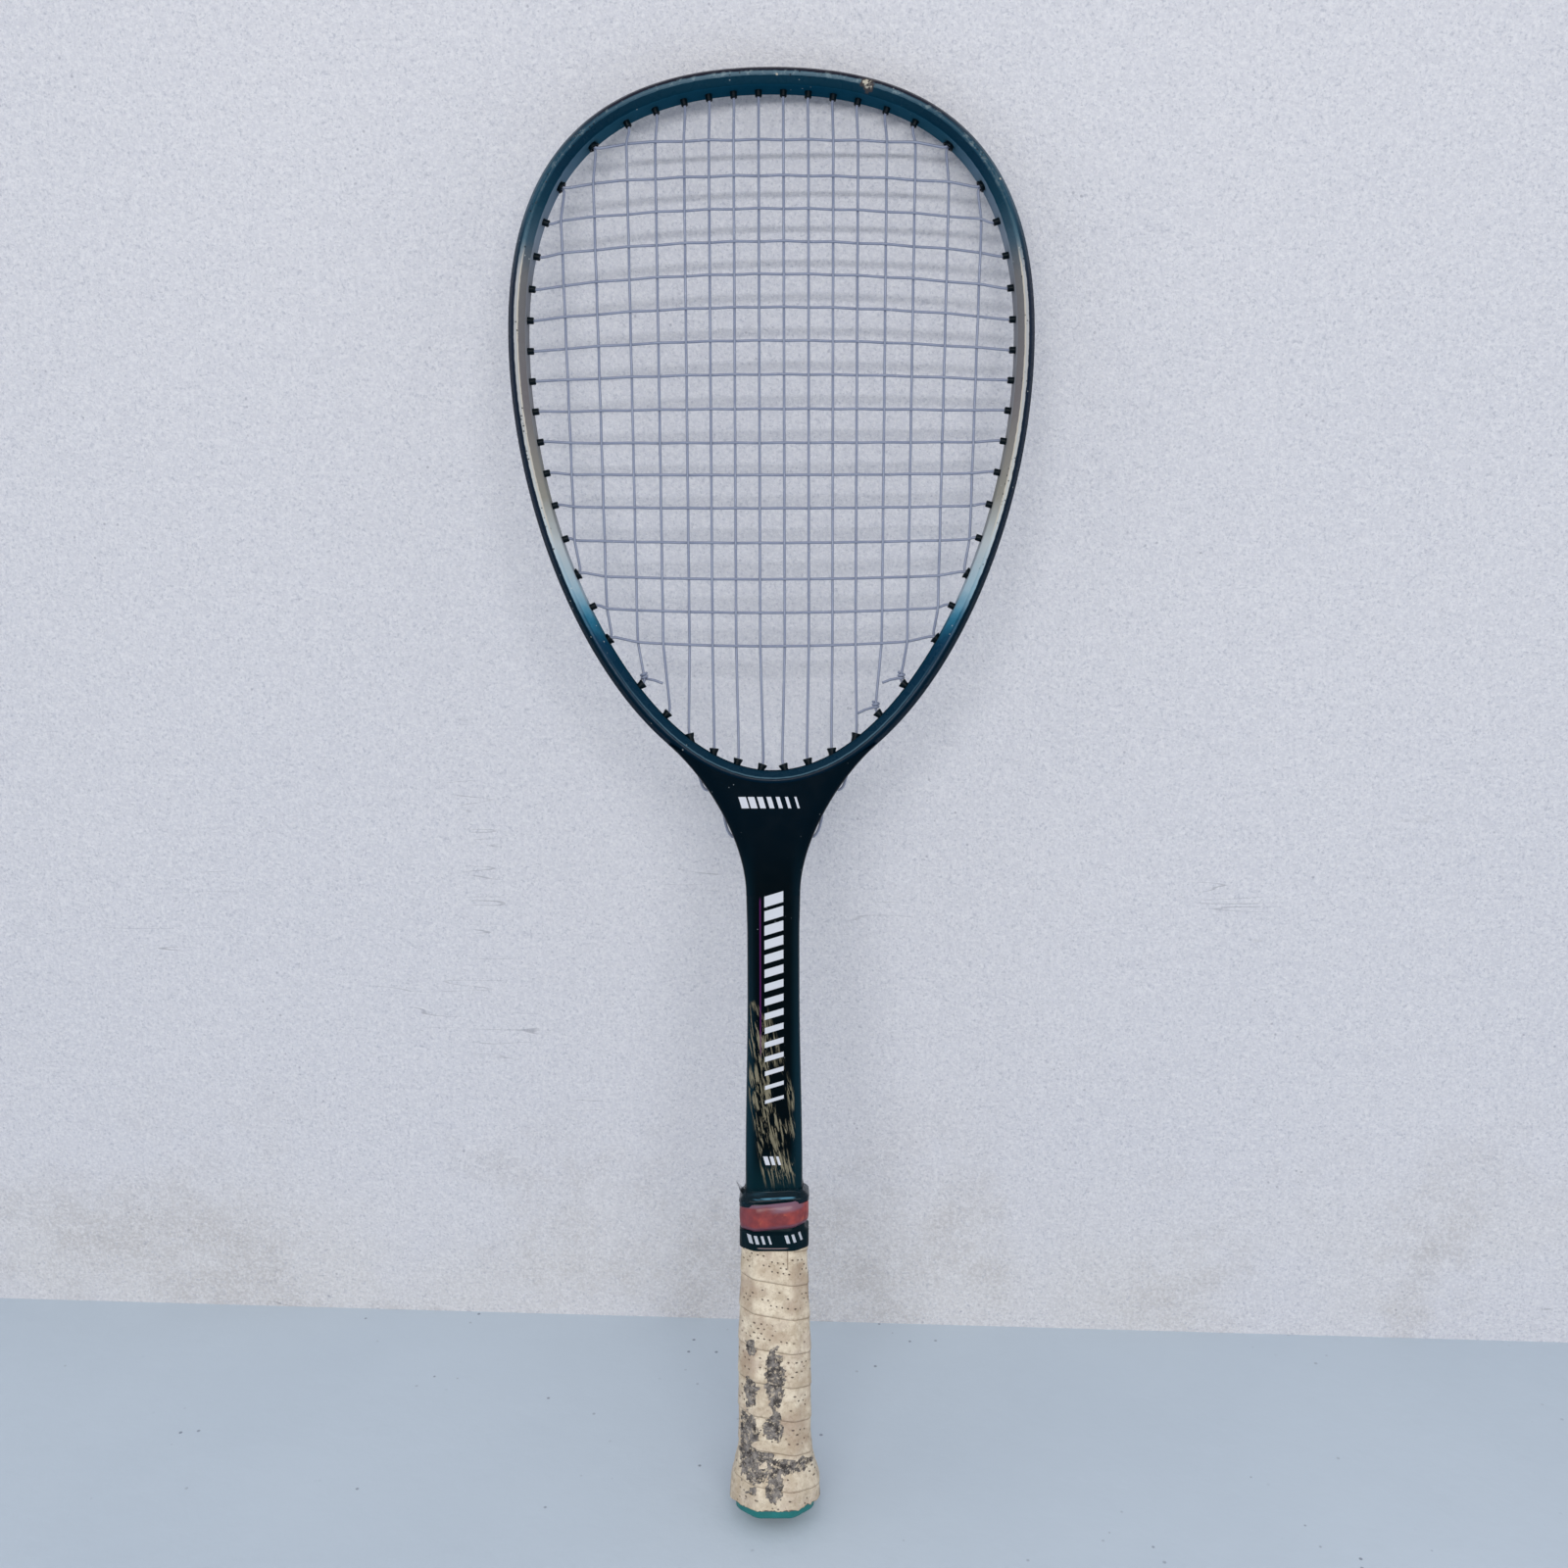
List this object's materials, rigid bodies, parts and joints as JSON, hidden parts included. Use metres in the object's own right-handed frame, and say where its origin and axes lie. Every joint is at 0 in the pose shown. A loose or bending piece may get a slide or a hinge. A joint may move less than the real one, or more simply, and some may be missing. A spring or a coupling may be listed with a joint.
{
  "type": "soft tennis racket",
  "caption": "Racket with an egg-shaped strung head, a closed throat, one straight shaft and an eight-sided handle wound with grip tape.",
  "frame": {"origin": "middle of the flat butt end of the handle", "axes": "+Z from the butt to the tip of the head, +X across the face, the pictured face towards -Y"},
  "size_m": [0.2464, 0.0407, 0.686],
  "materials": {
    "hoop_paint": "glossy lacquer, teal at the tip and foot, cream at the sides, scuffed",
    "shaft_paint": "glossy near-black lacquer with dark teal edges",
    "core_foam": "cut foam",
    "pallet_foam": "moulded foam",
    "cap_plastic": "satin",
    "badge_plastic": "satin, blank",
    "underlay": "worn synthetic leather",
    "grip_tape": "perforated synthetic leather, stained and worn through in places",
    "finishing_tape": "glossy tape, plain",
    "band_rubber": "translucent elastic",
    "clear_film": "clear wrinkled film",
    "grommet_plastic": "satin black",
    "string": "translucent lavender-grey filament"
  },
  "bodies": {
    "root": {"head_hoop": "hoop_paint", "throat_yoke": "shaft_paint", "shaft_tube": "shaft_paint", "shaft_foam_core": "core_foam", "handle_pallet_front": "pallet_foam", "handle_pallet_back": "pallet_foam", "butt_cap": "cap_plastic", "butt_badge": "badge_plastic", "grip_underlay": "underlay", "grip_wrap": "grip_tape", "finishing_tape": "finishing_tape", "rubber_band": "band_rubber", "clear_film": "clear_film", "grommet_strip_tip": "grommet_plastic", "grommet_strip_left": "grommet_plastic", "grommet_strip_right": "grommet_plastic", "grommet_pair_lower_left": "grommet_plastic", "grommet_pair_lower_right": "grommet_plastic", "grommets_throat_left": "grommet_plastic", "grommets_throat_right": "grommet_plastic", "main_string": "string", "cross_string": "string", "tie_off_knot_left": "string", "tie_off_knot_right_upper": "string", "tie_off_knot_right_lower": "string"}
  },
  "joints": []
}
